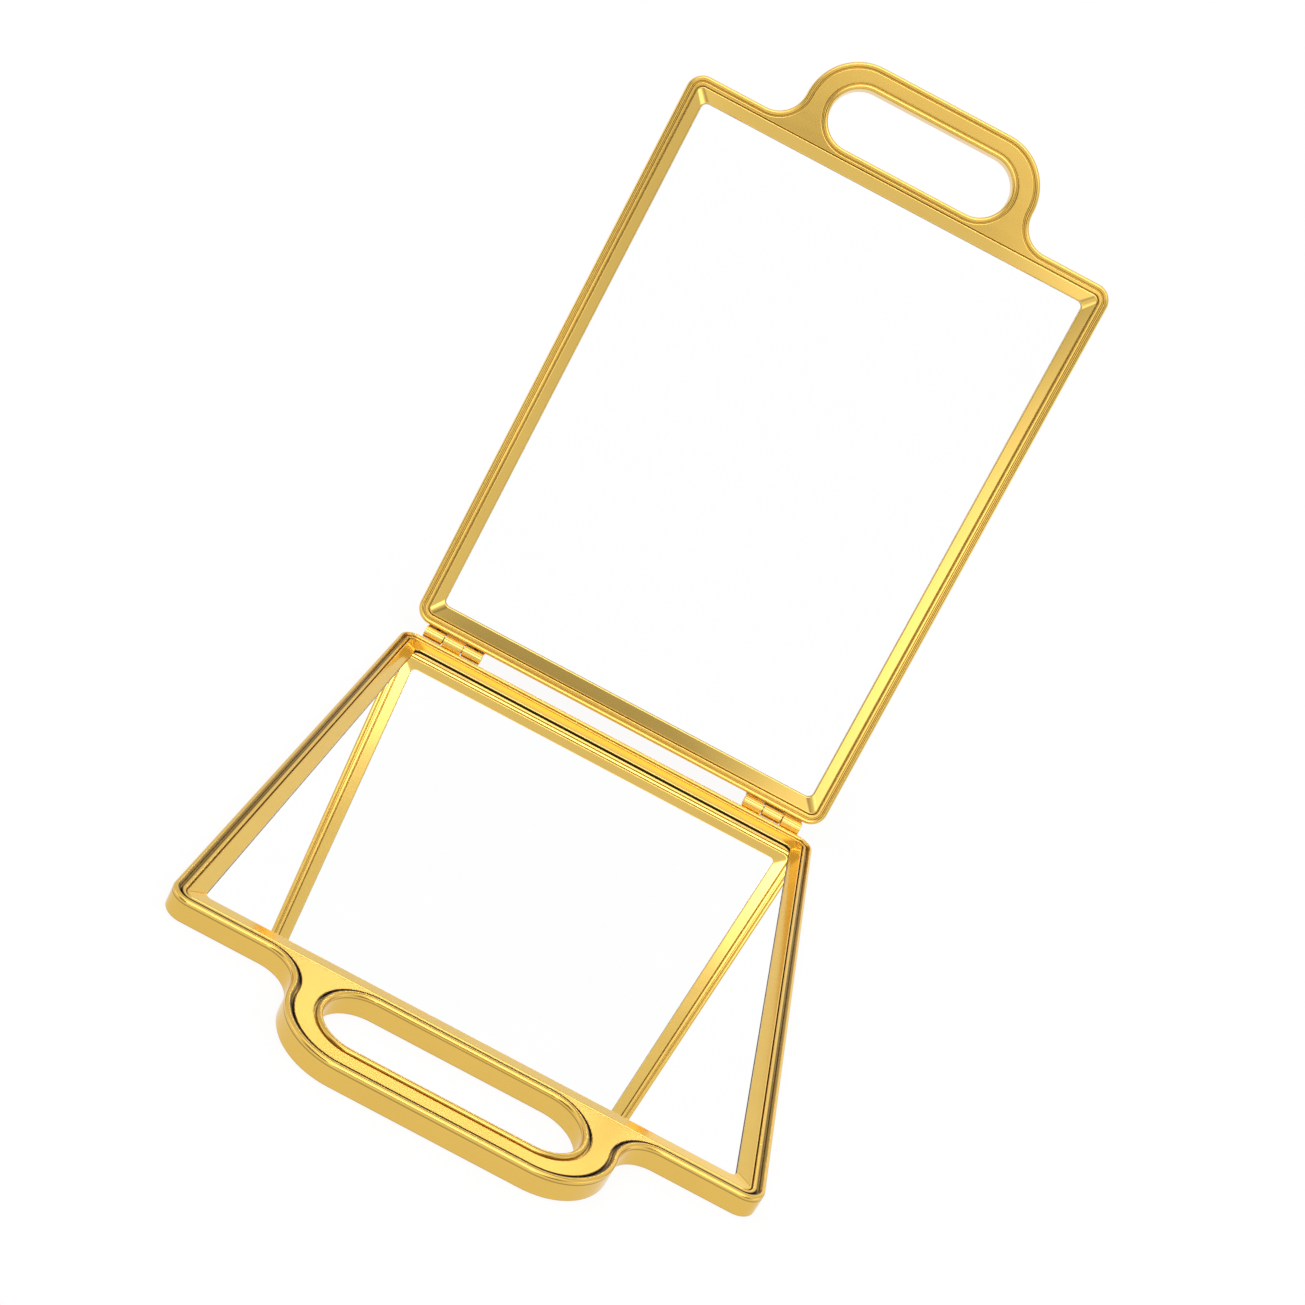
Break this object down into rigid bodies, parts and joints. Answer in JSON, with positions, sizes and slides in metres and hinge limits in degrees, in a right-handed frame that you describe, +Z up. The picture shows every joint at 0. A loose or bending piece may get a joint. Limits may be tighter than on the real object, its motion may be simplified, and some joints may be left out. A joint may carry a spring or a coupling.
{
  "type": "folding hand mirror",
  "caption": "Gold folding hand mirror: rectangular bevelled-frame mirror panels with slotted loop handles, joined end to end by butt hinges.",
  "frame": {"origin": "centre of the base panel's underside, its handle left out, where the mirror rests on a table", "axes": "+X along the hinge line, to the right as the user faces the mirror; +Y from the base's handle towards the hinge line; +Z up, out of the base's mirror"},
  "size_m": [0.2, 0.375, 0.3029],
  "materials": {
    "frame_gold": "polished, gold plated",
    "bezel_gold": "polished, gold plated",
    "cover_gold": "satin, gold plated",
    "hinge_brass": "polished, gold plated",
    "screw_brass": "polished, gold plated",
    "mirror_glass": "silvered float glass with ground edges",
    "foam": "soft, matt",
    "magnet_steel": "nickel plated"
  },
  "bodies": {
    "base": {"base_frame": "frame_gold", "base_bezel": "bezel_gold", "base_mirror_glass": "mirror_glass", "base_foam_pad": "foam", "base_back_cover": "cover_gold", "base_magnet_left": "magnet_steel", "base_magnet_right": "magnet_steel", "left_hinge_base_leaf": "hinge_brass", "left_hinge_base_screw_a": "screw_brass", "left_hinge_base_screw_b": "screw_brass", "left_hinge_pin": "hinge_brass", "right_hinge_base_leaf": "hinge_brass", "right_hinge_base_screw_a": "screw_brass", "right_hinge_base_screw_b": "screw_brass", "right_hinge_pin": "hinge_brass"},
    "lid": {"lid_frame": "frame_gold", "lid_bezel": "bezel_gold", "lid_mirror_glass": "mirror_glass", "lid_foam_pad": "foam", "lid_back_cover": "cover_gold", "lid_magnet_left": "magnet_steel", "lid_magnet_right": "magnet_steel", "left_hinge_lid_leaf": "hinge_brass", "left_hinge_lid_screw_a": "screw_brass", "left_hinge_lid_screw_b": "screw_brass", "right_hinge_lid_leaf": "hinge_brass", "right_hinge_lid_screw_a": "screw_brass", "right_hinge_lid_screw_b": "screw_brass"}
  },
  "joints": [
    {"name": "lid_hinge", "type": "hinge", "parent": "base", "child": "lid", "pos_m": [0, 0.13375, 0.0094], "axis": [-1, 0, 0], "range_deg": [-102.45, 77.55]}
  ]
}
